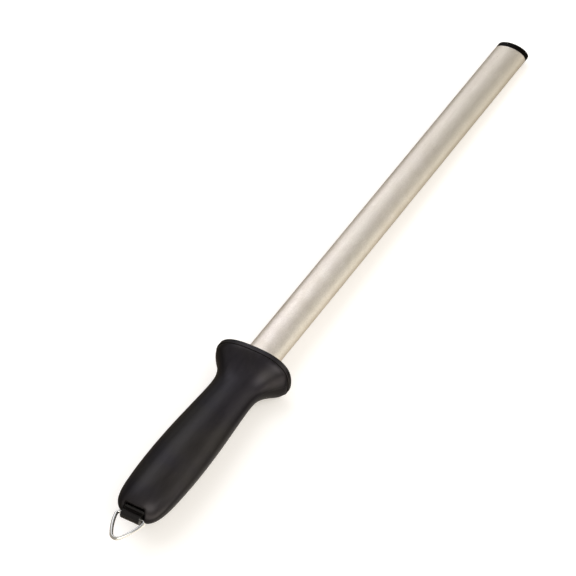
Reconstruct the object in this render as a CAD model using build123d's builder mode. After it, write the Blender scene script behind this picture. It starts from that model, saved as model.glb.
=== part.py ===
from build123d import *
from math import copysign, cos, pi, radians, sin
import os

# An oval, diamond-coated knife sharpening steel. Millimetres, +Z up.
# The origin is on the rod's axis at the front face of the guard. +X runs along the
# rod to its tip, +Y runs across the oval and Z is the oval's thin way.

# Rod: an oval steel tube with a plated layer of diamond grit
ROD_LENGTH = 305.8
ROD_HALF_WIDTH = 10.28
ROD_HALF_HEIGHT = 5.70
COATING = 0.20
TUBE_WALL = 1.0
TUBE_END = 301.6
TUBE_REAR = -90.0
COATING_START = -1.5
BARE_LIP = 0.5

# Plastic cap that closes the tip
CAP_SHANK_LENGTH = 12.0
CAP_WALL = 1.3
CAP_SHANK_GAP = 0.12
CAP_RIB_COUNT = 3
CAP_RIB_LENGTH = 1.0
CAP_RIB_PITCH = 3.2
CAP_FILLET = 0.9
CAP_SHANK_CHAMFER = 0.5

# Handle, with a flared guard in front and a domed butt behind
GUARD_HALF_WIDTH = 23.4
GUARD_HALF_HEIGHT = 15.8
GUARD_EXPONENT = 2.6
GUARD_THICKNESS = 3.2
GRIP_RATIO = 0.70
GRIP_EXPONENT = 2.0
FLARE_START = -33.0
FLARE_LENGTH = 28.0
WAIST = (-28.0, 13.6)
BELLY = (-88.0, 16.0)
SHOULDER = (-118.0, 13.8)
BUTT_CORNER = (-126.6, 7.0)
BUTT_X = -127.2
SECTION_COUNT = 30
OVAL_POINTS = 32

# Cored pocket behind the guard plate, with a boss round the tube, ribs and peg bosses
POCKET_DEPTH = 9.0
POCKET_WALL = 2.6
POCKET_MIDDLE = (17.0, 10.9)
POCKET_END = (14.2, 9.0)
BOSS_WALL = 1.9
RIB_THICKNESS = 1.6
RIB_COUNT = 6
RIB_FIRST_ANGLE = 30.0
PEG_Y = 16.2
PEG_RADIUS = 1.5
PEG_BOSS_RADIUS = 2.7
PEG_LENGTH = 6.0
PEG_GAP = 0.5
SEAT_GAP = 0.10
FIT_GAP = 0.02
RIM_STEP = 0.5
RIM_CHAMFER = 0.4
PLATE_REAR_CHAMFER = 0.15
PLATE_FRONT_FILLET = 0.8

# Tie inside the handle: a block pinned in the tube's end, and a screw that pulls it home
BLOCK_FLANGE = 1.5
BLOCK_LENGTH = 22.0
PARTITION = 6.0
NUT_FLATS = 7.0
NUT_THICKNESS = 3.2
NUT_POCKET_DEPTH = 5.2
NUT_POCKET_GAP = 0.1
SCREW_RADIUS = 2.0
SCREW_GAP = 0.25
SCREW_CHAMFER = 0.5
SCREW_LENGTH = 30.0
SCREW_HEAD_RADIUS = 4.0
SCREW_HEAD_HEIGHT = 3.1
SCREW_HEAD_FILLET = 1.4
SOCKET_DEPTH = 1.8
SOCKET_FLATS = 2.5
WASHER_RADIUS = 4.5
WASHER_THICKNESS = 0.8
PIN_RADIUS = 1.25
PIN_Y = 6.2
PIN_X = -79.0
PIN_HALF_LENGTH = 3.6
PIN_CHAMFER = 0.3

# Butt slot and the hanger lug that snaps into it
SLOT_WIDTH = 12.2
SLOT_HEIGHT = 8.6
SLOT_BOW = 0.9
SLOT_INNER_X = -104.0
SLOT_CORNER = 1.6
SLOT_OVERRUN = 3.0
MOUTH_X = -123.0
MOUTH_FILLET = 1.2
UNDERCUT_WIDTH = 17.0
UNDERCUT = (-117.0, -107.0)
UNDERCUT_HEIGHT = 7.6
SCREW_ACCESS_RADIUS = 5.2
LUG_WIDTH = 11.7
LUG_RADIUS = 2.85
LUG_WEB = 2.3
LUG_NECK = 1.4
LUG_FILLET = 0.45
LIP_FRONT = -124.9
LIP_BACK = -123.9
LIP_RISE = 0.7
COLLAR_FRONT = -121.4
COLLAR_THICKNESS = 2.6
ARM_INSIDE = 4.0
ARM_OUTSIDE = 5.9
ARM_END = -111.6
ARM_HALF_HEIGHT = 2.6
ARM_TAPER = 0.4
HOOK_X = -116.8
HOOK_Y = 7.9
HOOK_FLAT = 1.0
PIVOT_X = -127.7

# Wire hanging ring: a rounded triangle with bowed legs, whose base runs through the lug
WIRE_RADIUS = 1.0
RING_SEAT = 6.4
RING_CORNER = 1.9
RING_CORNER_TURN = 101.6
RING_LEG = 38.8
RING_LEG_TURN = 22.1
RING_CLEARANCE = 0.06
WIRE_SPLIT = 0.3

TUBE_HALF_WIDTH = ROD_HALF_WIDTH - COATING
TUBE_HALF_HEIGHT = ROD_HALF_HEIGHT - COATING
BORE_HALF_WIDTH = TUBE_HALF_WIDTH - TUBE_WALL
BORE_HALF_HEIGHT = TUBE_HALF_HEIGHT - TUBE_WALL
BLOCK_REAR = TUBE_REAR - BLOCK_FLANGE
BLOCK_FRONT = TUBE_REAR + BLOCK_LENGTH
PARTITION_REAR = BLOCK_REAR - PARTITION
HEAD_SEAT = PARTITION_REAR - WASHER_THICKNESS
PLATE_REAR = -GUARD_THICKNESS
POCKET_FLOOR = PLATE_REAR - POCKET_DEPTH

os.makedirs("parts", exist_ok=True)


def across(x):
    """A sketch plane square to the rod at x, with its own x along +Y and its own y along +Z."""
    return Plane.YZ.offset(x)


def oval_face(half_width, half_height, exponent):
    """An oval in the current sketch, squarer than an ellipse as its exponent rises above 2."""
    points = []
    for step in range(OVAL_POINTS):
        turn = 2 * pi * (step + 0.5) / OVAL_POINTS
        u = copysign(abs(cos(turn)) ** (2 / exponent), cos(turn))
        v = copysign(abs(sin(turn)) ** (2 / exponent), sin(turn))
        points.append((half_width * u, half_height * v))
    with BuildLine() as outline:
        Spline(*points, periodic=True)
    make_face(outline.edges())


def flare_share(x):
    """0 in the grip and 1 at the guard, with a smooth change between."""
    t = min(max((x - FLARE_START) / FLARE_LENGTH, 0.0), 1.0)
    return t * t * (3 - 2 * t)


def section_ratio(x):
    """The handle's height over its width at x."""
    guard_ratio = GUARD_HALF_HEIGHT / GUARD_HALF_WIDTH
    return GRIP_RATIO + (guard_ratio - GRIP_RATIO) * flare_share(x)


def section_exponent(x):
    """How square the handle's section is at x."""
    return GRIP_EXPONENT + (GUARD_EXPONENT - GRIP_EXPONENT) * flare_share(x)


def slot_face(gap):
    """The slot's section drawn in by gap, with its long sides bowed to suit the domed butt."""
    half_width = SLOT_WIDTH / 2 - gap
    half_height = SLOT_HEIGHT / 2 - gap
    crown = half_height + SLOT_BOW
    with BuildLine() as outline:
        Line((half_width, -half_height), (half_width, half_height))
        ThreePointArc((half_width, half_height), (0, crown), (-half_width, half_height))
        Line((-half_width, half_height), (-half_width, -half_height))
        ThreePointArc((-half_width, -half_height), (0, -crown), (half_width, -half_height))
    make_face(outline.edges())
    fillet(vertices(), SLOT_CORNER - gap)


# The handle's half outline, seen from above: rim, flare, waist, belly, shoulder and butt
with BuildLine() as half_outline:
    Spline(
        (PLATE_REAR, GUARD_HALF_WIDTH - RIM_STEP),
        (-5.5, 22.2),
        (-9.0, 19.6),
        (-14.0, 16.1),
        (-20.0, 13.9),
        WAIST,
        (-58.0, 15.3),
        BELLY,
        (-108.0, 15.2),
        SHOULDER,
        (-123.6, 11.3),
        BUTT_CORNER,
        (BUTT_X, 0.0),
    )
outline_curve = half_outline.edge()

# handle_body: one moulded grip with its flared front, cored for the tube, the tie and the lug
with BuildPart() as front_core:
    with BuildSketch(across(PLATE_REAR)):
        oval_face(GUARD_HALF_WIDTH - POCKET_WALL, GUARD_HALF_HEIGHT - POCKET_WALL, GUARD_EXPONENT)
    with BuildSketch(across((PLATE_REAR + POCKET_FLOOR) / 2)):
        oval_face(*POCKET_MIDDLE, GUARD_EXPONENT)
    with BuildSketch(across(POCKET_FLOOR)):
        oval_face(*POCKET_END, GUARD_EXPONENT)
    loft()
    with BuildSketch(across(POCKET_FLOOR)):
        Ellipse(TUBE_HALF_WIDTH + BOSS_WALL, TUBE_HALF_HEIGHT + BOSS_WALL)
        with PolarLocations(0, RIB_COUNT // 2, start_angle=RIB_FIRST_ANGLE, angular_range=180):
            Rectangle(2 * GUARD_HALF_WIDTH, RIB_THICKNESS)
        with Locations((-PEG_Y, 0), (PEG_Y, 0)):
            Circle(PEG_BOSS_RADIUS)
    extrude(amount=POCKET_DEPTH, mode=Mode.SUBTRACT)

with BuildPart() as handle_body:
    for step in range(SECTION_COUNT):
        station = outline_curve @ (step / SECTION_COUNT)
        with BuildSketch(across(station.X)):
            oval_face(station.Y, station.Y * section_ratio(station.X), section_exponent(station.X))
    loft()
    add(front_core.part, mode=Mode.SUBTRACT)
    # The tube's socket, from the front down to the partition
    with BuildSketch(across(BLOCK_REAR - SEAT_GAP)):
        Ellipse(TUBE_HALF_WIDTH + SEAT_GAP, TUBE_HALF_HEIGHT + SEAT_GAP)
    extrude(amount=-BLOCK_REAR + SEAT_GAP, mode=Mode.SUBTRACT)
    # Holes for the guard plate's pegs
    with BuildSketch(across(PLATE_REAR)):
        with Locations((-PEG_Y, 0), (PEG_Y, 0)):
            Circle(PEG_RADIUS)
    extrude(amount=-PEG_LENGTH - PEG_GAP, mode=Mode.SUBTRACT)
    # The screw's hole through the partition, and the driver's way in behind it
    with BuildSketch(across(PARTITION_REAR)):
        Circle(SCREW_RADIUS + SCREW_GAP)
    extrude(amount=PARTITION, mode=Mode.SUBTRACT)
    with BuildSketch(across(PARTITION_REAR)):
        Circle(SCREW_ACCESS_RADIUS)
    extrude(amount=SLOT_INNER_X - PARTITION_REAR, mode=Mode.SUBTRACT)
    # The lug's slot, with an undercut behind its mouth
    with BuildSketch(across(UNDERCUT[1])):
        RectangleRounded(UNDERCUT_WIDTH, UNDERCUT_HEIGHT, SLOT_CORNER)
    extrude(amount=UNDERCUT[0] - UNDERCUT[1], mode=Mode.SUBTRACT)
    with BuildSketch(across(SLOT_INNER_X)):
        slot_face(0)
    extrude(amount=BUTT_X - SLOT_INNER_X - SLOT_OVERRUN, mode=Mode.SUBTRACT)
    mouth = edges().filter_by_position(Axis.X, BUTT_X - 1, MOUTH_X)
    fillet(mouth, MOUTH_FILLET)
    rim = edges().filter_by_position(Axis.X, PLATE_REAR, PLATE_REAR).sort_by(SortBy.LENGTH)[-1]
    chamfer(rim, RIM_CHAMFER)

# guard_plate: closes the flared front round the rod and presses into the peg bosses
with BuildPart() as guard_plate:
    with BuildSketch(across(PLATE_REAR)):
        oval_face(GUARD_HALF_WIDTH, GUARD_HALF_HEIGHT, GUARD_EXPONENT)
    extrude(amount=GUARD_THICKNESS)
    outer_edges = edges().sort_by(SortBy.LENGTH)[-2:].sort_by(Axis.X)
    fillet(outer_edges[-1], PLATE_FRONT_FILLET)
    chamfer(edges().sort_by(Axis.X)[0], PLATE_REAR_CHAMFER)
    with BuildSketch(across(PLATE_REAR)):
        Ellipse(ROD_HALF_WIDTH + SEAT_GAP, ROD_HALF_HEIGHT + SEAT_GAP)
    extrude(amount=GUARD_THICKNESS, mode=Mode.SUBTRACT)
    with BuildSketch(across(PLATE_REAR)):
        with Locations((-PEG_Y, 0), (PEG_Y, 0)):
            Circle(PEG_RADIUS - FIT_GAP)
    extrude(amount=-PEG_LENGTH)

# rod_tube: the oval steel tube, cross-drilled near its buried end for the tang pins
with BuildPart() as rod_tube:
    with BuildSketch(across(TUBE_REAR)):
        Ellipse(TUBE_HALF_WIDTH, TUBE_HALF_HEIGHT)
        Ellipse(BORE_HALF_WIDTH, BORE_HALF_HEIGHT, mode=Mode.SUBTRACT)
    extrude(amount=TUBE_END - TUBE_REAR)
    with BuildSketch(Plane.XY):
        with Locations((PIN_X, -PIN_Y), (PIN_X, PIN_Y)):
            Circle(PIN_RADIUS)
    extrude(amount=ROD_HALF_HEIGHT, both=True, mode=Mode.SUBTRACT)

# diamond_coating: the plated grit layer on the part of the tube that works
with BuildPart() as diamond_coating:
    with BuildSketch(across(COATING_START)):
        Ellipse(ROD_HALF_WIDTH, ROD_HALF_HEIGHT)
        Ellipse(TUBE_HALF_WIDTH, TUBE_HALF_HEIGHT, mode=Mode.SUBTRACT)
    extrude(amount=TUBE_END - BARE_LIP - COATING_START)

# tip_cap: a rounded flange flush with the rod, on a hollow shank with gripping ribs
with BuildPart() as tip_cap:
    with BuildSketch(across(TUBE_END)):
        Ellipse(ROD_HALF_WIDTH, ROD_HALF_HEIGHT)
    extrude(amount=ROD_LENGTH - TUBE_END)
    fillet(edges().sort_by(Axis.X)[-1], CAP_FILLET)
    with BuildSketch(across(TUBE_END)):
        Ellipse(BORE_HALF_WIDTH - CAP_SHANK_GAP, BORE_HALF_HEIGHT - CAP_SHANK_GAP)
    extrude(amount=-CAP_SHANK_LENGTH)
    chamfer(edges().sort_by(Axis.X)[0], CAP_SHANK_CHAMFER)
    for rib in range(CAP_RIB_COUNT):
        with BuildSketch(across(TUBE_END - CAP_RIB_PITCH * (rib + 1) + CAP_RIB_LENGTH)):
            Ellipse(BORE_HALF_WIDTH - FIT_GAP, BORE_HALF_HEIGHT - FIT_GAP)
        extrude(amount=-CAP_RIB_LENGTH)
    with BuildSketch(across(TUBE_END)):
        Ellipse(BORE_HALF_WIDTH - CAP_WALL, BORE_HALF_HEIGHT - CAP_WALL)
    extrude(amount=-CAP_SHANK_LENGTH, mode=Mode.SUBTRACT)

# tang_block: fills the tube's buried end, seats against its rim and holds the nut
with BuildPart() as tang_block:
    with BuildSketch(across(BLOCK_REAR)):
        Ellipse(TUBE_HALF_WIDTH, TUBE_HALF_HEIGHT)
    extrude(amount=BLOCK_FLANGE)
    with BuildSketch(across(TUBE_REAR)):
        Ellipse(BORE_HALF_WIDTH - FIT_GAP, BORE_HALF_HEIGHT - FIT_GAP)
    extrude(amount=BLOCK_LENGTH)
    with BuildSketch(across(BLOCK_REAR)):
        Circle(SCREW_RADIUS + SCREW_GAP)
    extrude(amount=BLOCK_FLANGE + BLOCK_LENGTH, mode=Mode.SUBTRACT)
    with BuildSketch(across(BLOCK_FRONT)):
        RegularPolygon(NUT_FLATS / 2 + NUT_POCKET_GAP, 6, major_radius=False)
    extrude(amount=-NUT_POCKET_DEPTH, mode=Mode.SUBTRACT)
    with BuildSketch(Plane.XY):
        with Locations((PIN_X, -PIN_Y), (PIN_X, PIN_Y)):
            Circle(PIN_RADIUS)
    extrude(amount=ROD_HALF_HEIGHT, both=True, mode=Mode.SUBTRACT)

# tang_pins: two pins through the tube and the block, clear of the screw
with BuildPart() as tang_pins:
    with BuildSketch(Plane.XY):
        with Locations((PIN_X, -PIN_Y), (PIN_X, PIN_Y)):
            Circle(PIN_RADIUS)
    extrude(amount=PIN_HALF_LENGTH, both=True)
    chamfer(edges().filter_by(GeomType.CIRCLE), PIN_CHAMFER)

# tang_nut: a hex nut in the block's pocket, flats up and down
with BuildPart() as tang_nut:
    with BuildSketch(across(BLOCK_FRONT - NUT_POCKET_DEPTH)):
        RegularPolygon(NUT_FLATS / 2, 6, major_radius=False)
        Circle(SCREW_RADIUS, mode=Mode.SUBTRACT)
    extrude(amount=NUT_THICKNESS)

# tie_washer: under the screw's head, against the partition
with BuildPart() as tie_washer:
    with BuildSketch(across(HEAD_SEAT)):
        Circle(WASHER_RADIUS)
        Circle(SCREW_RADIUS + SCREW_GAP, mode=Mode.SUBTRACT)
    extrude(amount=WASHER_THICKNESS)

# tie_screw: a socket button head outside the partition, and a shank into the nut
with BuildPart() as tie_screw:
    with BuildSketch(across(HEAD_SEAT)):
        Circle(SCREW_RADIUS - FIT_GAP)
    extrude(amount=SCREW_LENGTH)
    chamfer(edges().sort_by(Axis.X)[-1], SCREW_CHAMFER)
    with BuildSketch(across(HEAD_SEAT)):
        Circle(SCREW_HEAD_RADIUS)
    extrude(amount=-SCREW_HEAD_HEIGHT)
    fillet(edges().sort_by(Axis.X)[0], SCREW_HEAD_FILLET)
    with BuildSketch(across(HEAD_SEAT - SCREW_HEAD_HEIGHT)):
        RegularPolygon(SOCKET_FLATS / 2, 6, major_radius=False)
    extrude(amount=SOCKET_DEPTH, mode=Mode.SUBTRACT)

# hanger_lug: a knuckle for the ring, a collar that fills the slot and two snap arms
with BuildPart() as hanger_lug:
    with BuildSketch(Plane.XZ):
        with BuildLine():
            Polyline(
                (PIVOT_X, 0),
                (PIVOT_X, LUG_WEB),
                (LIP_FRONT, LUG_WEB),
                (LIP_FRONT + LIP_RISE, LUG_WEB + LIP_RISE),
                (LIP_BACK, LUG_WEB + LIP_RISE),
                (LIP_BACK, LUG_NECK),
                (COLLAR_FRONT, LUG_NECK),
                (COLLAR_FRONT, 0),
                close=True,
            )
        make_face()
        mirror(about=Plane.XZ)
        with Locations((PIVOT_X, 0)):
            Circle(LUG_RADIUS)
    extrude(amount=LUG_WIDTH / 2, both=True)
    knuckle_rims = edges().filter_by(GeomType.CIRCLE).sort_by(SortBy.LENGTH)[-2:]
    fillet(knuckle_rims, LUG_FILLET)
    with BuildSketch(across(COLLAR_FRONT)):
        slot_face(SEAT_GAP)
    extrude(amount=COLLAR_THICKNESS)
    with BuildSketch(Plane.XY):
        with BuildLine():
            Polyline(
                (COLLAR_FRONT + COLLAR_THICKNESS, ARM_INSIDE),
                (COLLAR_FRONT + COLLAR_THICKNESS, ARM_OUTSIDE),
                (HOOK_X, ARM_OUTSIDE),
                (HOOK_X, HOOK_Y),
                (HOOK_X + HOOK_FLAT, HOOK_Y),
                (ARM_END, ARM_OUTSIDE - ARM_TAPER),
                (ARM_END, ARM_INSIDE),
                close=True,
            )
        make_face()
        mirror(about=Plane.XZ)
    extrude(amount=ARM_HALF_HEIGHT, both=True)
    with BuildSketch(Plane.XZ):
        with Locations((PIVOT_X, 0)):
            Circle(WIRE_RADIUS + RING_CLEARANCE)
    extrude(amount=LUG_WIDTH, both=True, mode=Mode.SUBTRACT)

# hanging_ring: the wire's two ends meet inside the knuckle. Each half is a chain of
# tangent arcs, and the nose's radius is the one that brings the halves together.
corner_turn = radians(RING_CORNER_TURN)
shoulder_turn = radians(RING_CORNER_TURN + RING_LEG_TURN)
nose_reach = RING_SEAT - (RING_LEG - RING_CORNER) * sin(corner_turn)
nose_radius = RING_LEG + nose_reach / sin(shoulder_turn)
ring_plane = Plane(origin=(PIVOT_X, 0, 0), x_dir=(0, 1, 0), z_dir=(0, 0, 1))
with BuildLine(ring_plane) as wire_path:
    seat = Line((WIRE_SPLIT / 2, 0), (RING_SEAT, 0))
    corner = JernArc(seat @ 1, seat % 1, RING_CORNER, RING_CORNER_TURN)
    leg = JernArc(corner @ 1, corner % 1, RING_LEG, RING_LEG_TURN)
    JernArc(leg @ 1, leg % 1, nose_radius, 180 - RING_CORNER_TURN - RING_LEG_TURN)
    mirror(about=Plane.XZ)

with BuildPart() as hanging_ring:
    path = wire_path.wires()[0]
    with BuildSketch(Plane(origin=path @ 0, z_dir=path % 0)):
        Circle(WIRE_RADIUS)
    sweep(path=path)

nodes = {
    "handle_body": handle_body,
    "guard_plate": guard_plate,
    "rod_tube": rod_tube,
    "diamond_coating": diamond_coating,
    "tip_cap": tip_cap,
    "tang_block": tang_block,
    "tang_pins": tang_pins,
    "tang_nut": tang_nut,
    "tie_washer": tie_washer,
    "tie_screw": tie_screw,
    "hanger_lug": hanger_lug,
    "hanging_ring": hanging_ring,
}
for name, node in nodes.items():
    node.part.label = name
    export_step(node.part, f"parts/{name}.step")
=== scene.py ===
import math

import bpy
from mathutils import Matrix, Vector


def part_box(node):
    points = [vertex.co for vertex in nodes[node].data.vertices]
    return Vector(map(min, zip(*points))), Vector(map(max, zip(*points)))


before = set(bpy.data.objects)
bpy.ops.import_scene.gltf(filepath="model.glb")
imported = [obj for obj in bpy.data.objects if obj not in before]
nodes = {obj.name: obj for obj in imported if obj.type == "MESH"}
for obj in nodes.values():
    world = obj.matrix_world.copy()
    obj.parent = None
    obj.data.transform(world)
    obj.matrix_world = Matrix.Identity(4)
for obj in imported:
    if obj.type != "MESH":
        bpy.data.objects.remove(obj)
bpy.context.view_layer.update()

MM = 0.001

# Camera: the way it looks, the point it looks at and how far off it stands
CAMERA_HEADING = 59.55
CAMERA_PITCH = 45.18
CAMERA_DISTANCE = 1.896
CAMERA_AIM = Vector((35.4, -0.2, 30.2)) * MM
CAMERA_LENS = 214.5

# Studio: an even light, and soft lobes as heading, elevation, inner and outer angle, radiance and
# colour. The last lobe takes light away, where the room is dark. Angles are in degrees.
AMBIENT = 0.42
AMBIENT_COLOUR = (1.0, 0.965, 0.925)
LOBES = (
    (39, 31, 4, 28, 1.56, (0.955, 0.975, 1.06)),
    (-50, 17, 6, 36, 0.70, (1.0, 0.975, 0.84)),
    (-118, 46, 6, 31, 3.10, (1.0, 0.975, 0.90)),
    (108, 32, 10, 58, -0.22, (1.0, 1.0, 1.0)),
)

# Floor: pale and lifted to the camera, and dimmer in reflections, where it glows beside the handle
# and behind the butt
FLOOR_SIZE = 6.0
FLOOR_EXPOSURE = (0.70, 0.71, 0.74)
FLOOR_LIFT = 0.47
FLOOR_LIFT_COLOUR = (1.0, 0.93, 0.83)
FLOOR_GLOW_COLOUR = (1.0, 0.955, 0.88)
FLOOR_BOUNCE = (0.26, 0.22, 0.17)
FLOOR_GLOW = 0.42
HANDLE_GLOW = 3.5
BUTT_GLOW = 0.16

# Overhead key light: unseen in reflections, it brightens the floor and lays soft shadows to -Y
KEY_HEADING = 95
KEY_ELEVATION = 66
KEY_STRENGTH = 0.95
KEY_SPREAD = 50

# Lug: where its reflection is raised on the knuckle's crest and on the ridge, from its rear end forward, to
# paint their highlights
CREST_HIGHLIGHT = (1.8 * MM, 2.9 * MM)
RIDGE_HIGHLIGHT = (5.4 * MM, 5.8 * MM)


def new_material(name):
    """A new material, its node tree and its Principled shader."""
    material = bpy.data.materials.new(name)
    material.use_nodes = True
    tree = material.node_tree
    return material, tree, tree.nodes["Principled BSDF"]


def put(node, key, value):
    """Set one input of a node, or link a socket into it."""
    if isinstance(value, bpy.types.NodeSocket):
        node.id_data.links.new(value, node.inputs[key])
    else:
        node.inputs[key].default_value = value


def add_node(tree, kind, inputs=None, **settings):
    """Add a shader node, set its properties, then set or link its inputs."""
    node = tree.nodes.new("ShaderNode" + kind)
    for key, value in settings.items():
        setattr(node, key, value)
    for key, value in (inputs or {}).items():
        put(node, key, value)
    return node


def maths(tree, operation, a, b=0.0, c=0.0):
    return add_node(tree, "Math", {0: a, 1: b, 2: c}, operation=operation).outputs[0]


def remap(tree, value, low, high, to_low, to_high):
    """Value's change from low to high turned into a smooth change from to_low to to_high."""
    inputs = {"Value": value, "From Min": low, "From Max": high, "To Min": to_low, "To Max": to_high}
    return add_node(tree, "MapRange", inputs, interpolation_type="SMOOTHSTEP").outputs[0]


def mix_colour(tree, factor, a, b, blend="MIX"):
    """Colour a blended towards colour b by factor. Each is a socket or three numbers."""
    node = add_node(tree, "Mix", {0: factor}, data_type="RGBA", blend_type=blend)
    for key, value in ((6, a), (7, b)):
        put(node, key, value if isinstance(value, bpy.types.NodeSocket) else (*value, 1))
    return node.outputs[2]


def place(tree, stretch=(1, 1, 1)):
    """The object's own coordinates in metres, stretched to draw a pattern out along an axis."""
    coordinates = add_node(tree, "TexCoord")
    mapping = add_node(tree, "Mapping", {"Vector": coordinates.outputs["Object"], "Scale": stretch})
    return mapping.outputs[0]


def noise(tree, where, size, detail=3.0, roughness=0.5):
    """Noise whose features are about size metres across, from 0 to 1."""
    inputs = {"Vector": where, "Scale": 1 / size, "Detail": detail, "Roughness": roughness}
    return add_node(tree, "TexNoise", inputs).outputs[0]


def cells(tree, where, size):
    """Distance to the middle of each cell, in cells about size metres across."""
    return add_node(tree, "TexVoronoi", {"Vector": where, "Scale": 1 / size}).outputs[0]


def edge_mask(tree, radius):
    """1 on edges that rub, 0 on open faces."""
    bevel = add_node(tree, "Bevel", {"Radius": radius}, samples=6)
    geometry = add_node(tree, "NewGeometry")
    inputs = {0: bevel.outputs[0], 1: geometry.outputs["Normal"]}
    facing = add_node(tree, "VectorMath", inputs, operation="DOT_PRODUCT").outputs["Value"]
    return remap(tree, facing, 0.998, 0.93, 0.0, 1.0)


def bump(tree, height, distance, strength=1.0, normal=None):
    """A normal that height, from 0 to 1, raises by up to distance on top of an earlier normal."""
    inputs = {"Height": height, "Distance": distance, "Strength": strength}
    if normal is not None:
        inputs["Normal"] = normal
    return add_node(tree, "Bump", inputs).outputs[0]


def finish_look(shader, **inputs):
    """Set or link the shader's inputs by name, with underscores for spaces."""
    for key, value in inputs.items():
        name = key.replace("_", " ")
        is_colour = isinstance(value, tuple) and len(value) == 3
        put(shader, name, (*value, 1) if is_colour else value)


def grip_plastic():
    """Satin black moulding: eroded grain, a parting line, hand polish and faint scuffs."""
    material, tree, shader = new_material("grip_plastic")
    here = place(tree)
    cloudy = noise(tree, here, 28 * MM, 2.0)
    smears = noise(tree, place(tree, (0.25, 1, 1)), 5 * MM, 4.0)
    grain = noise(tree, here, 0.45 * MM, 3.0, 0.6)
    scuffs = noise(tree, place(tree, (0.08, 1, 1)), 0.9 * MM, 2.0)
    scuff_mask = remap(tree, scuffs, 0.66, 0.78, 0.0, 1.0)
    edges = edge_mask(tree, 0.7 * MM)
    tinge = remap(tree, cloudy, 0.35, 0.65, 0, 1)
    tone = mix_colour(tree, tinge, (0.0070, 0.0061, 0.0080), (0.0105, 0.0092, 0.0086))
    worn = mix_colour(tree, maths(tree, "MULTIPLY", edges, 0.5), tone, (0.030, 0.025, 0.021))
    colour = mix_colour(tree, maths(tree, "MULTIPLY", scuff_mask, 0.25), worn, (0.035, 0.032, 0.030))
    gloss = maths(tree, "MULTIPLY_ADD", remap(tree, smears, 0.3, 0.7, -1, 1), 0.035, 0.37)
    gloss = maths(tree, "MULTIPLY_ADD", edges, -0.10, gloss)
    height = add_node(tree, "SeparateXYZ", {0: here}).outputs[2]
    seam = remap(tree, maths(tree, "ABSOLUTE", height), 0.16 * MM, 0.04 * MM, 0.0, 1.0)
    surface = bump(tree, seam, 0.05 * MM)
    surface = bump(tree, grain, 0.035 * MM, 1.0, surface)
    surface = bump(tree, smears, 0.02 * MM, 0.5, surface)
    slant = add_node(tree, "LayerWeight", {"Blend": 0.5}).outputs["Facing"]
    sheen = remap(tree, slant, 0.20, 0.41, 0.37, 0.05)
    sheen = maths(tree, "MULTIPLY", sheen, remap(tree, smears, 0.3, 0.7, 0.86, 1.14))
    cast = mix_colour(tree, tinge, (0.96, 0.89, 1.0), (1.0, 0.93, 0.94))
    finish_look(shader, Base_Color=colour, Specular_IOR_Level=sheen, Specular_Tint=cast)
    finish_look(shader, Roughness=gloss, Normal=surface)
    return material


def gloss_plastic(name, roughness, shine, tint):
    """Harder, glossier black plastic with flow marks, fine pits and rubbed edges."""
    material, tree, shader = new_material(name)
    here = place(tree)
    flow = noise(tree, place(tree, (0.5, 0.2, 1)), 2.2 * MM, 3.0)
    pits = cells(tree, here, 0.8 * MM)
    edges = edge_mask(tree, 0.35 * MM)
    tone = mix_colour(tree, remap(tree, flow, 0.3, 0.7, 0, 1), tint, tuple(1.5 * t for t in tint))
    colour = mix_colour(tree, maths(tree, "MULTIPLY", edges, 0.6), tone, (0.045, 0.040, 0.036))
    gloss = maths(tree, "MULTIPLY_ADD", flow, 0.08, roughness)
    surface = bump(tree, remap(tree, pits, 0.0, 0.25, 0.0, 1.0), 0.008 * MM)
    surface = bump(tree, flow, 0.05 * MM, 0.5, surface)
    finish_look(shader, Base_Color=colour, Roughness=gloss, Specular_IOR_Level=shine, Normal=surface)
    return material


def lug_plastic():
    """Painted highlights: stronger reflection on the knuckle's crest and ridge, weaker between them."""
    material = gloss_plastic("lug_plastic", 0.12, 0.27, (0.0052, 0.0045, 0.0042))
    tree = material.node_tree
    along = add_node(tree, "SeparateXYZ", {0: place(tree)}).outputs[0]
    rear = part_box("hanger_lug")[0].x
    # Reflection strength by position: high on the crest and the ridge to paint their highlights, low
    # between them to paint a dark band of shade.
    crest_highlight = remap(tree, along, rear + CREST_HIGHLIGHT[1], rear + CREST_HIGHLIGHT[0], 0.08, 0.36)
    ridge_highlight = remap(tree, along, rear + RIDGE_HIGHLIGHT[0], rear + RIDGE_HIGHLIGHT[1], 0.0, 0.42)
    shine = maths(tree, "MAXIMUM", crest_highlight, ridge_highlight)
    finish_look(tree.nodes["Principled BSDF"], Specular_IOR_Level=shine)
    return material


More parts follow.
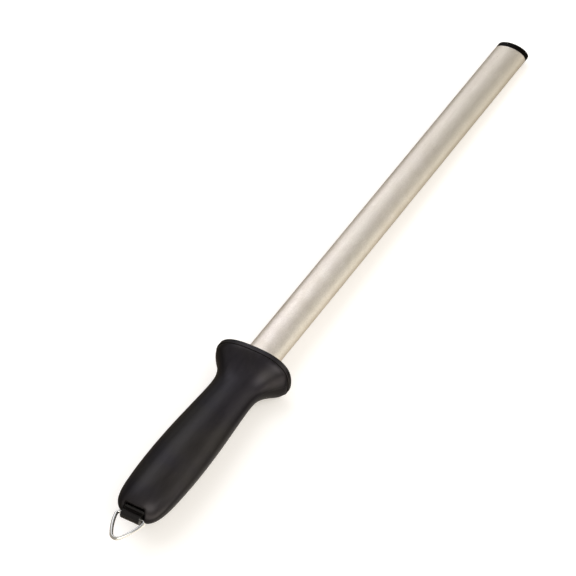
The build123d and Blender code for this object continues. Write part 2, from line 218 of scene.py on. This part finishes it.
def diamond_grit():
    """Plated grit: packed crystals in nickel, worn smoother in streaks, with specks and scratches."""
    material, tree, shader = new_material("diamond_grit")
    here = place(tree)
    crystals = cells(tree, here, 0.22 * MM)
    sparkle = noise(tree, here, 0.12 * MM, 2.0)
    mottle = noise(tree, place(tree, (0.6, 1, 1)), 5.5 * MM, 5.0, 0.62)
    drift = noise(tree, place(tree, (0.22, 1, 1)), 16 * MM, 3.0)
    tinge = noise(tree, here, 10 * MM, 2.0)
    streaks = noise(tree, place(tree, (0.03, 1, 1)), 0.8 * MM, 3.0)
    blotches = remap(tree, mottle, 0.28, 0.72, 0, 1)
    tone = mix_colour(tree, blotches, (0.810, 0.735, 0.640), (0.960, 0.895, 0.810))
    tone = mix_colour(tree, remap(tree, tinge, 0.35, 0.65, 0, 0.35), tone, (0.85, 0.775, 0.735))
    tone = mix_colour(tree, remap(tree, drift, 0.45, 0.75, 0, 0.30), tone, (0.79, 0.765, 0.665))
    flecks = remap(tree, noise(tree, here, 0.8 * MM, 1.0), 0.3, 0.7, 0.0, 0.5)
    tone = mix_colour(tree, flecks, tone, (0.70, 0.64, 0.56))
    specks = remap(tree, cells(tree, here, 7.5 * MM), 0.055, 0.03, 0.0, 1.0)
    rare = remap(tree, noise(tree, here, 22 * MM, 0.0), 0.52, 0.60, 0.0, 1.0)
    tone = mix_colour(tree, maths(tree, "MULTIPLY", specks, rare), tone, (0.20, 0.17, 0.14))
    nicks = noise(tree, place(tree, (0.25, 1.6, 1)), 1.6 * MM, 1.0)
    nick_mask = remap(tree, nicks, 0.78, 0.84, 0.0, 1.0)
    tone = mix_colour(tree, nick_mask, tone, (0.93, 0.90, 0.86))
    gloss = maths(tree, "MULTIPLY_ADD", remap(tree, streaks, 0.35, 0.65, -1, 1), 0.03, 0.40)
    gloss = maths(tree, "MULTIPLY_ADD", mottle, 0.08, gloss)
    along = add_node(tree, "SeparateXYZ", {0: here}).outputs[0]
    rear, tip = (corner.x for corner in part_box("diamond_coating"))
    # Darker towards the tip: painted shade for the light falling off along the rod. The tip end is also
    # made a little rougher.
    tip_shade_and_dulling = remap(tree, along, rear, tip, 0.0, 1.0)
    tone = mix_colour(tree, maths(tree, "MULTIPLY", tip_shade_and_dulling, 0.62), tone, (0.575, 0.53, 0.445))
    gloss = maths(tree, "MULTIPLY_ADD", tip_shade_and_dulling, 0.05, gloss)
    surface = bump(tree, crystals, 0.030 * MM)
    surface = bump(tree, sparkle, 0.015 * MM, 1.0, surface)
    surface = bump(tree, nick_mask, 0.02 * MM, -1.0, surface)
    finish_look(shader, Base_Color=tone, Metallic=0.94, Roughness=gloss, Normal=surface)
    return material


def turned_steel():
    """Bare tube steel: fine marks round the section, and a little stain."""
    material, tree, shader = new_material("tube_steel")
    rings = noise(tree, place(tree, (1, 0.04, 0.04)), 0.18 * MM, 3.0)
    stain = noise(tree, place(tree), 4 * MM, 4.0)
    tone = mix_colour(tree, remap(tree, stain, 0.35, 0.7, 0, 1), (0.78, 0.76, 0.72), (0.60, 0.57, 0.52))
    gloss = maths(tree, "MULTIPLY_ADD", rings, 0.14, 0.22)
    surface = bump(tree, rings, 0.012 * MM)
    finish_look(shader, Base_Color=tone, Metallic=1.0, Roughness=gloss, Normal=surface)
    return material


def plated_wire():
    """Bright nickel wire: faint draw lines, soft waviness, and yellowing in the nose."""
    material, tree, shader = new_material("ring_wire")
    here = place(tree)
    lines = noise(tree, here, 0.25 * MM, 3.0)
    waves = noise(tree, here, 2.6 * MM, 2.0)
    spots = remap(tree, cells(tree, here, 4.2 * MM), 0.10, 0.05, 0.0, 0.55)
    along = add_node(tree, "SeparateXYZ", {0: here}).outputs[0]
    nose, pivot = (corner.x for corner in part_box("hanging_ring"))
    ageing = remap(tree, along, pivot + 0.6 * (nose - pivot), nose, 0.0, 0.8)
    tone = mix_colour(tree, ageing, (0.72, 0.72, 0.705), (0.68, 0.67, 0.62))
    tone = mix_colour(tree, spots, tone, (0.45, 0.40, 0.33))
    gloss = maths(tree, "MULTIPLY_ADD", lines, 0.10, 0.06)
    surface = bump(tree, waves, 0.06 * MM, 0.5)
    surface = bump(tree, lines, 0.004 * MM, 1.0, surface)
    finish_look(shader, Base_Color=tone, Metallic=1.0, Roughness=gloss, Normal=surface)
    return material


def zinc_plate():
    """Zinc-plated fasteners: soft grey-blue sheen with small crystals and dulled edges."""
    material, tree, shader = new_material("fastener_steel")
    here = place(tree)
    spangle = cells(tree, here, 0.9 * MM)
    haze = noise(tree, here, 1.6 * MM, 4.0)
    edges = edge_mask(tree, 0.2 * MM)
    tone = mix_colour(tree, spangle, (0.62, 0.63, 0.64), (0.72, 0.72, 0.71))
    tone = mix_colour(tree, maths(tree, "MULTIPLY", edges, 0.7), tone, (0.80, 0.79, 0.77))
    gloss = maths(tree, "MULTIPLY_ADD", haze, 0.18, 0.24)
    surface = bump(tree, haze, 0.01 * MM)
    finish_look(shader, Base_Color=tone, Metallic=1.0, Roughness=gloss, Normal=surface)
    return material


def filled_nylon():
    """The tang block's glass-filled nylon: cloudy grey-brown with short fibre flecks."""
    material, tree, shader = new_material("block_plastic")
    here = place(tree)
    cloud = noise(tree, here, 3.5 * MM, 4.0)
    fibres = noise(tree, place(tree, (0.15, 1, 1)), 0.3 * MM, 2.0)
    fleck = remap(tree, fibres, 0.60, 0.72, 0.0, 0.6)
    tone = mix_colour(tree, cloud, (0.10, 0.095, 0.088), (0.16, 0.15, 0.135))
    tone = mix_colour(tree, fleck, tone, (0.34, 0.33, 0.30))
    gloss = maths(tree, "MULTIPLY_ADD", cloud, 0.15, 0.48)
    surface = bump(tree, fibres, 0.02 * MM)
    finish_look(shader, Base_Color=tone, Roughness=gloss, Normal=surface)
    return material


def dress(material, *names):
    """Give CAD nodes their finish."""
    for name in names:
        slots = nodes[name].data.materials
        slots.clear()
        slots.append(material)


def dress_all():
    fasteners = zinc_plate()
    dress(grip_plastic(), "handle_body", "guard_plate")
    dress(gloss_plastic("cap_plastic", 0.30, 0.02, (0.0016, 0.0011, 0.0007)), "tip_cap")
    dress(lug_plastic(), "hanger_lug")
    dress(diamond_grit(), "diamond_coating")
    dress(turned_steel(), "rod_tube")
    dress(plated_wire(), "hanging_ring")
    dress(filled_nylon(), "tang_block")
    dress(fasteners, "tang_pins", "tang_nut", "tie_washer", "tie_screw")


def direction(heading, elevation):
    """The unit vector at a heading from +X towards +Y and an elevation, both in degrees."""
    flat = math.cos(math.radians(elevation))
    return Vector((
        math.cos(math.radians(heading)) * flat,
        math.sin(math.radians(heading)) * flat,
        math.sin(math.radians(elevation)),
    ))


def floor_material():
    """Pale paper: it reads white with soft shadows, and glows on the camera's side."""
    material, tree, _ = new_material("floor_paper")
    tree.nodes.clear()
    seen = add_node(tree, "LightPath").outputs["Is Camera Ray"]
    fibres = noise(tree, place(tree), 0.9 * MM, 4.0)
    paper = mix_colour(tree, fibres, tuple(0.985 * c for c in FLOOR_EXPOSURE), FLOOR_EXPOSURE)
    bounce = mix_colour(tree, seen, FLOOR_BOUNCE, paper)
    spot = add_node(tree, "SeparateXYZ", {0: add_node(tree, "TexCoord").outputs["Object"]})
    near_side = remap(tree, spot.outputs[1], 10 * MM, -35 * MM, 0.0, FLOOR_GLOW)
    by_handle = remap(tree, spot.outputs[0], 10 * MM, -30 * MM, 1.0, HANDLE_GLOW)
    near_side = maths(tree, "MULTIPLY", near_side, by_handle)
    near_butt = remap(tree, spot.outputs[0], -110 * MM, -170 * MM, 0.0, BUTT_GLOW)
    glow = maths(tree, "MAXIMUM", near_side, near_butt)
    lift = add_node(tree, "Mix", {0: seen, 2: glow, 3: FLOOR_LIFT}, data_type="FLOAT").outputs[0]
    diffuse = add_node(tree, "BsdfDiffuse", {"Color": bounce})
    tint = mix_colour(tree, seen, FLOOR_GLOW_COLOUR, FLOOR_LIFT_COLOUR)
    emission = add_node(tree, "Emission", {"Color": tint, "Strength": lift})
    both = add_node(tree, "AddShader", {0: diffuse.outputs[0], 1: emission.outputs[0]})
    add_node(tree, "OutputMaterial", {"Surface": both.outputs[0]})
    return material


def add_floor():
    """The floor runs under the two places the steel rests on: the guard's rim and the tip."""
    guard_low, guard_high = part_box("guard_plate")
    cap_low, cap_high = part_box("tip_cap")
    front = Vector((guard_high.x, 0, guard_low.z))
    tip = Vector((cap_high.x, 0, cap_low.z))
    along = (tip - front).normalized()
    across = Vector((0, 1, 0))
    corners = []
    for u, v in ((-1, -1), (1, -1), (1, 1), (-1, 1)):
        corners.append(front + (along * u + across * v) * FLOOR_SIZE / 2)
    mesh = bpy.data.meshes.new("floor")
    mesh.from_pydata([corner[:] for corner in corners], [], [(0, 1, 2, 3)])
    mesh.materials.append(floor_material())
    floor = bpy.data.objects.new("floor", mesh)
    bpy.context.scene.collection.objects.link(floor)


def add_world():
    """Soft light from all round, with brighter lobes where the studio's panels stand."""
    world = bpy.data.worlds.new("studio")
    world.use_nodes = True
    tree = world.node_tree
    ray = add_node(tree, "TexCoord").outputs["Generated"]
    light = tuple(AMBIENT * c for c in AMBIENT_COLOUR)
    for heading, elevation, inner, outer, radiance, colour in LOBES:
        centre = direction(heading, elevation)
        facing = add_node(tree, "VectorMath", {0: ray, 1: centre}, operation="DOT_PRODUCT").outputs["Value"]
        edge = math.cos(math.radians(outer))
        core = math.cos(math.radians(inner))
        share = remap(tree, facing, edge, core, 0.0, 1.0)
        panel = mix_colour(tree, share, (0, 0, 0), tuple(radiance * c for c in colour))
        light = mix_colour(tree, 1.0, light, panel, "ADD")
    put(tree.nodes["Background"], "Color", light)
    bpy.context.scene.world = world


def add_key_light():
    """A wide sun that lights the floor and is left out of reflections."""
    data = bpy.data.lights.new("key_light", "SUN")
    data.energy = KEY_STRENGTH
    data.angle = math.radians(KEY_SPREAD)
    light = bpy.data.objects.new("key_light", data)
    light.visible_glossy = False
    light.rotation_euler = direction(KEY_HEADING, KEY_ELEVATION).to_track_quat("Z", "Y").to_euler()
    bpy.context.scene.collection.objects.link(light)


def add_camera():
    """The camera stands back along its own view line from the point it looks at."""
    heading = math.radians(CAMERA_HEADING)
    right = Vector((math.cos(heading), -math.sin(heading), 0))
    forward = direction(90 - CAMERA_HEADING, -CAMERA_PITCH)
    up = right.cross(forward)
    data = bpy.data.cameras.new("camera")
    data.lens = CAMERA_LENS
    data.sensor_width = 36.0
    data.clip_end = 20.0
    turn = Matrix((right, up, -forward)).transposed().to_4x4()
    camera = bpy.data.objects.new("camera", data)
    camera.matrix_world = Matrix.Translation(CAMERA_AIM - forward * CAMERA_DISTANCE) @ turn
    bpy.context.scene.collection.objects.link(camera)
    bpy.context.scene.camera = camera


dress_all()
add_floor()
add_world()
add_key_light()
add_camera()
bpy.context.scene.view_settings.view_transform = "Standard"
